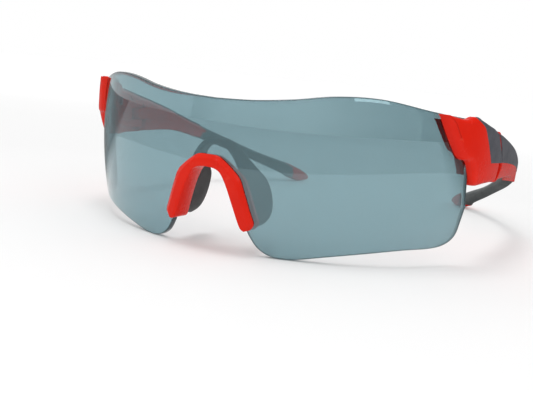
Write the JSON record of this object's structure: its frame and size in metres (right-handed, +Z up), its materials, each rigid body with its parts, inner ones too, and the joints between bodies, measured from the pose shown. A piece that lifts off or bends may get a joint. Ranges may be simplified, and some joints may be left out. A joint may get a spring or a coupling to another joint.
{
  "type": "wraparound sport sunglasses",
  "caption": "Wraparound shield sunglasses with a mirrored one-piece lens, clip-on red nose bridge, rubber saddle and folding temples with rubber grips.",
  "frame": {"origin": "middle of the footprint, on the surface that the lens lobes and tip caps rest on", "axes": "+X the wearer's left, -Y the front, +Y back along the temples, +Z up"},
  "size_m": [0.1468, 0.172, 0.0487],
  "materials": {
    "mirrored_lens": "smoke-teal tint with a blue-grey mirror coating",
    "red_gloss": "glossy moulded nylon",
    "graphite_panel": "semi-gloss moulded nylon",
    "black_rubber": "soft matte rubber",
    "grey_rubber": "soft matte rubber",
    "screw_steel": "machined"
  },
  "bodies": {
    "front": {"shield_lens": "mirrored_lens", "nose_bridge": "red_gloss", "nose_saddle": "black_rubber", "left_end_piece": "red_gloss", "left_end_panel": "graphite_panel", "left_lens_clamp": "red_gloss", "left_clamp_screw": "screw_steel", "left_hinge_screw": "screw_steel", "right_end_piece": "red_gloss", "right_end_panel": "graphite_panel", "right_lens_clamp": "red_gloss", "right_clamp_screw": "screw_steel", "right_hinge_screw": "screw_steel"},
    "left_temple": {"left_temple_arm": "red_gloss", "left_temple_panel": "graphite_panel", "left_temple_grip": "grey_rubber", "left_tip_cap": "red_gloss"},
    "right_temple": {"right_temple_arm": "red_gloss", "right_temple_panel": "graphite_panel", "right_temple_grip": "grey_rubber", "right_tip_cap": "red_gloss"}
  },
  "joints": [
    {"name": "left_fold", "type": "hinge", "parent": "front", "child": "left_temple", "pos_m": [0.0682, -0.02507, 0.0323], "axis": [0, 0, 1], "range_deg": [0, 90]},
    {"name": "right_fold", "type": "hinge", "parent": "front", "child": "right_temple", "pos_m": [-0.0682, -0.02507, 0.0323], "axis": [0, 0, -1], "range_deg": [0, 70]}
  ]
}
